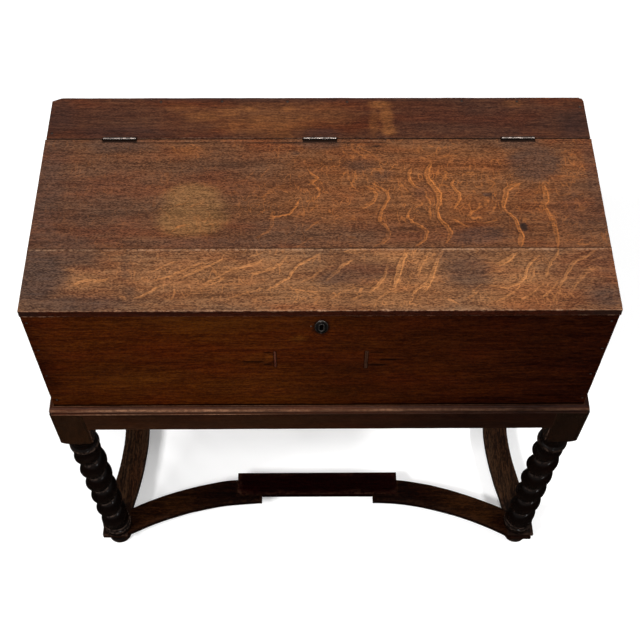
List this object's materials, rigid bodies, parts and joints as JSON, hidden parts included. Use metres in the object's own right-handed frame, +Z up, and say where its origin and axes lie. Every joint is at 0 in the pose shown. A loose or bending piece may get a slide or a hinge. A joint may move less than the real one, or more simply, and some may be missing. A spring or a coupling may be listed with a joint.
{
  "type": "bible box on stand",
  "caption": "Shallow lidded oak chest with a rear-hinged figured top and a lock, seated in the lip of a low stand with barley-twist legs and curved flat stretchers.",
  "frame": {"origin": "centre of the bounding box at floor level, where the bun feet stand", "axes": "+X to the right of somebody facing the keyhole, along the length; +Y to the back, where the lid is hinged; +Z up"},
  "size_m": [0.856, 0.4172, 0.8328],
  "materials": {
    "oak_top": "waxed figured oak, mid brown",
    "oak_box": "waxed oak, dark red-brown",
    "oak_inside": "dry unpolished oak",
    "oak_stand": "waxed oak, dark brown",
    "oak_stretcher": "worn stained oak",
    "oak_turned": "near-black polished turning",
    "steel_hinge": "worn steel",
    "iron_old": "dark old iron"
  },
  "bodies": {
    "stand": {"apron_rail_front": "oak_stand", "apron_rail_left": "oak_stand", "apron_rail_rear": "oak_stand", "apron_rail_right": "oak_stand", "bun_foot_front_left": "oak_turned", "bun_foot_front_right": "oak_turned", "bun_foot_rear_left": "oak_turned", "bun_foot_rear_right": "oak_turned", "leg_front_left": "oak_turned", "leg_front_right": "oak_turned", "leg_rear_left": "oak_turned", "leg_rear_right": "oak_turned", "lip_moulding_front": "oak_stand", "lip_moulding_left": "oak_stand", "lip_moulding_rear": "oak_stand", "lip_moulding_right": "oak_stand", "stretcher_front_centre": "oak_stretcher", "stretcher_front_left_arc": "oak_stretcher", "stretcher_front_right_arc": "oak_stretcher", "stretcher_rear_centre": "oak_stretcher", "stretcher_rear_left_arc": "oak_stretcher", "stretcher_rear_right_arc": "oak_stretcher", "stretcher_side_left": "oak_stretcher", "stretcher_side_right": "oak_stretcher"},
    "box": {"base_board_front": "oak_inside", "base_board_nails": "iron_old", "base_board_rear": "oak_inside", "box_back_board": "oak_box", "box_corner_nails": "iron_old", "box_end_left": "oak_box", "box_end_right": "oak_box", "box_front_board": "oak_box", "escutcheon_pins": "iron_old", "fixed_top_board": "oak_top", "front_slip_left": "oak_box", "front_slip_right": "oak_box", "hinge_leaf_fixed_centre": "steel_hinge", "hinge_leaf_fixed_left": "steel_hinge", "hinge_leaf_fixed_right": "steel_hinge", "hinge_pins": "steel_hinge", "hinge_screws_fixed": "steel_hinge", "keyhole_escutcheon": "iron_old", "lock_case": "iron_old", "lock_plate": "iron_old", "lock_screws": "iron_old", "lock_spring": "iron_old", "top_board_nails": "iron_old"},
    "lid": {"lid_board_front": "oak_top", "lid_board_rear": "oak_top", "lid_cleat_left": "oak_inside", "lid_cleat_right": "oak_inside", "cleat_screws": "iron_old", "hinge_leaf_lid_left": "steel_hinge", "hinge_leaf_lid_centre": "steel_hinge", "hinge_leaf_lid_right": "steel_hinge", "hinge_screws_lid": "steel_hinge", "lock_link_plate": "iron_old", "link_plate_screws": "iron_old"},
    "lock_bolt": {"lock_bolt": "iron_old"}
  },
  "joints": [
    {"name": "box_lift", "type": "slide", "parent": "stand", "child": "box", "axis": [0, 0, 1], "range_m": [0, 0.06]},
    {"name": "lid_hinge", "type": "hinge", "parent": "box", "child": "lid", "pos_m": [0, 0.1159, 0.8303], "axis": [-1, 0, 0], "range_deg": [0, 105]},
    {"name": "lock_bolt_slide", "type": "slide", "parent": "box", "child": "lock_bolt", "axis": [1, 0, 0], "range_m": [0, 0.007]}
  ]
}
